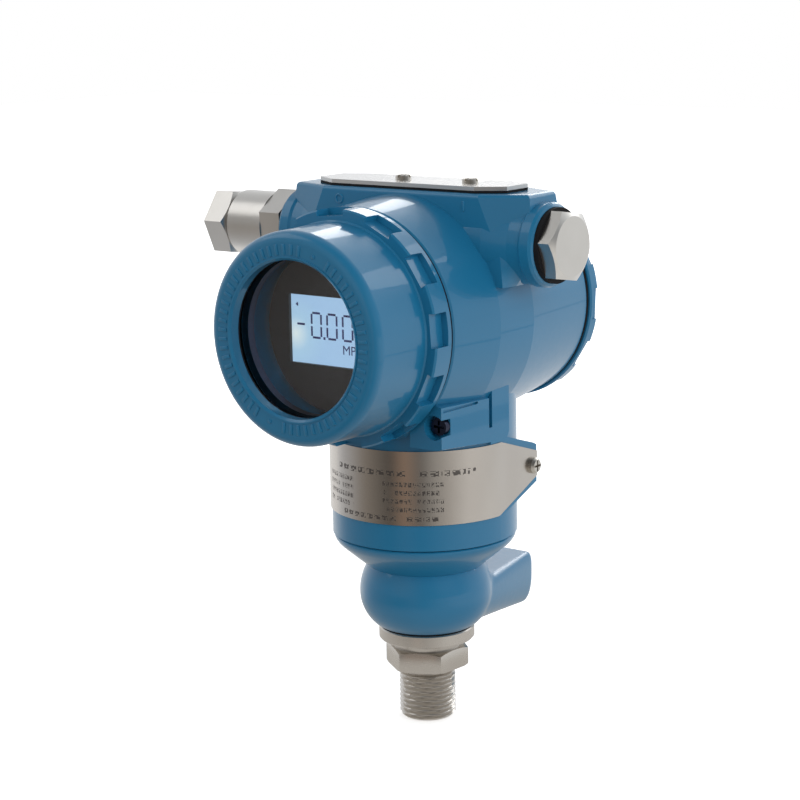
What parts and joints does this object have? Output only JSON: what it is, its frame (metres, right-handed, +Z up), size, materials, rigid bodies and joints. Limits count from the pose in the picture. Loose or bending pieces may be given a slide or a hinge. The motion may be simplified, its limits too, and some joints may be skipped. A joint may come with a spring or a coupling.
{
  "type": "pressure transmitter",
  "caption": "Process pressure transmitter: threaded stainless stub, swivelling die-cast housing with a round display window, cable gland, plug and screw-on covers.",
  "frame": {"origin": "centre of the lower end face of the process thread, on the thread's axis", "axes": "+Z up along the process thread and neck; -Y towards the display window; +X towards the plugged conduit entry, -X towards the cable gland"},
  "size_m": [0.1584, 0.1346, 0.2016],
  "materials": {
    "blue_paint": "satin stoved paint on a die casting, faint orange peel",
    "stainless": "turned and brushed stainless steel",
    "plated_brass": "nickel-plated, turned, satin",
    "nameplate": "brushed sheet, etched lines",
    "screw_steel": "bright stainless screws",
    "black_rubber": "matt black elastomer",
    "window": "clear toughened glass, polished",
    "bezel_black": "fine matt moulding",
    "lcd": "backlit display cell, pale blue",
    "circuit_board": "green solder resist with dark components",
    "brass": "turned brass, bright",
    "terminal_plastic": "dark moulding, matt"
  },
  "bodies": {
    "connection": {"process_connection": "stainless", "process_gasket": "black_rubber", "capsule_seal": "black_rubber", "sensor_capsule": "stainless", "sensor_housing": "blue_paint", "neck_seal": "black_rubber"},
    "head": {"housing": "blue_paint", "neck_set_screw": "screw_steel", "nameplate_band": "nameplate", "nameplate_screws": "screw_steel", "front_lock_screw": "screw_steel", "rear_lock_screw": "screw_steel", "display_bezel": "bezel_black", "lcd_panel": "lcd", "display_board": "circuit_board", "board_spacers": "brass", "main_board": "circuit_board", "board_screws": "screw_steel", "feedthrough": "terminal_plastic", "terminal_block": "terminal_plastic", "terminal_screws": "screw_steel", "inner_ground_screw": "screw_steel", "gland_body": "plated_brass", "gland_seal": "black_rubber", "gland_grommet": "black_rubber", "top_gasket": "black_rubber", "top_plate_screws": "screw_steel"},
    "front_seal": {"front_cover_o_ring": "black_rubber"},
    "front_lid": {"front_cover": "blue_paint", "window_glass": "window", "window_gasket": "black_rubber", "window_retaining_ring": "plated_brass"},
    "rear_seal": {"rear_cover_o_ring": "black_rubber"},
    "rear_lid": {"rear_cover": "blue_paint"},
    "plug_washer": {"plug_seal": "black_rubber"},
    "plug": {"conduit_plug": "plated_brass"},
    "cap_washer": {"gland_washer": "plated_brass"},
    "cap": {"gland_cap": "plated_brass"},
    "plate": {"top_plate": "stainless"},
    "zero_button": {"zero_key": "bezel_black"},
    "span_button": {"span_key": "bezel_black"}
  },
  "joints": [
    {"name": "head_turn", "type": "hinge", "parent": "connection", "child": "head", "pos_m": [0, 0, 0.08], "axis": [0, 0, 1], "range_deg": [-170, 170]},
    {"name": "front_cover_advance", "type": "slide", "parent": "head", "child": "front_seal", "axis": [0, -1, 0], "range_m": [0, 0.0121]},
    {"name": "front_cover_turn", "type": "hinge", "parent": "front_seal", "child": "front_lid", "pos_m": [0, -0.05, 0.1527], "axis": [0, -1, 0], "range_deg": [0, 2160]},
    {"name": "rear_cover_advance", "type": "slide", "parent": "head", "child": "rear_seal", "axis": [0, 1, 0], "range_m": [0, 0.0101]},
    {"name": "rear_cover_turn", "type": "hinge", "parent": "rear_seal", "child": "rear_lid", "pos_m": [0, 0.055, 0.1527], "axis": [0, 1, 0], "range_deg": [0, 1800]},
    {"name": "plug_advance", "type": "slide", "parent": "head", "child": "plug_washer", "axis": [1, 0, 0], "range_m": [0, 0.0105]},
    {"name": "plug_turn", "type": "hinge", "parent": "plug_washer", "child": "plug", "pos_m": [0.06, 0.0015, 0.18], "axis": [1, 0, 0], "range_deg": [0, 2520]},
    {"name": "gland_cap_advance", "type": "slide", "parent": "head", "child": "cap_washer", "axis": [-1, 0, 0], "range_m": [0, 0.006]},
    {"name": "gland_cap_turn", "type": "hinge", "parent": "cap_washer", "child": "cap", "pos_m": [-0.09, 0.0015, 0.18], "axis": [-1, 0, 0], "range_deg": [0, 1440]},
    {"name": "plate_swing", "type": "hinge", "parent": "head", "child": "plate", "pos_m": [-0.008, 0.001, 0.1994], "axis": [0, 0, 1], "range_deg": [-90, 0]},
    {"name": "zero_key_press", "type": "slide", "parent": "head", "child": "zero_button", "axis": [0, 0, -1], "range_m": [0, 0.0012], "stiffness_N_per_m": 400, "springref_m": -0.001},
    {"name": "span_key_press", "type": "slide", "parent": "head", "child": "span_button", "axis": [0, 0, -1], "range_m": [0, 0.0012], "stiffness_N_per_m": 400, "springref_m": -0.001}
  ],
  "couplings": [
    {"joint": "front_cover_advance", "follows": "front_cover_turn", "m_per_rad": 0.00031831},
    {"joint": "rear_cover_advance", "follows": "rear_cover_turn", "m_per_rad": 0.00031831},
    {"joint": "plug_turn", "follows": "plug_advance", "rad_per_m": 4188.8},
    {"joint": "gland_cap_turn", "follows": "gland_cap_advance", "rad_per_m": 4188.8}
  ]
}
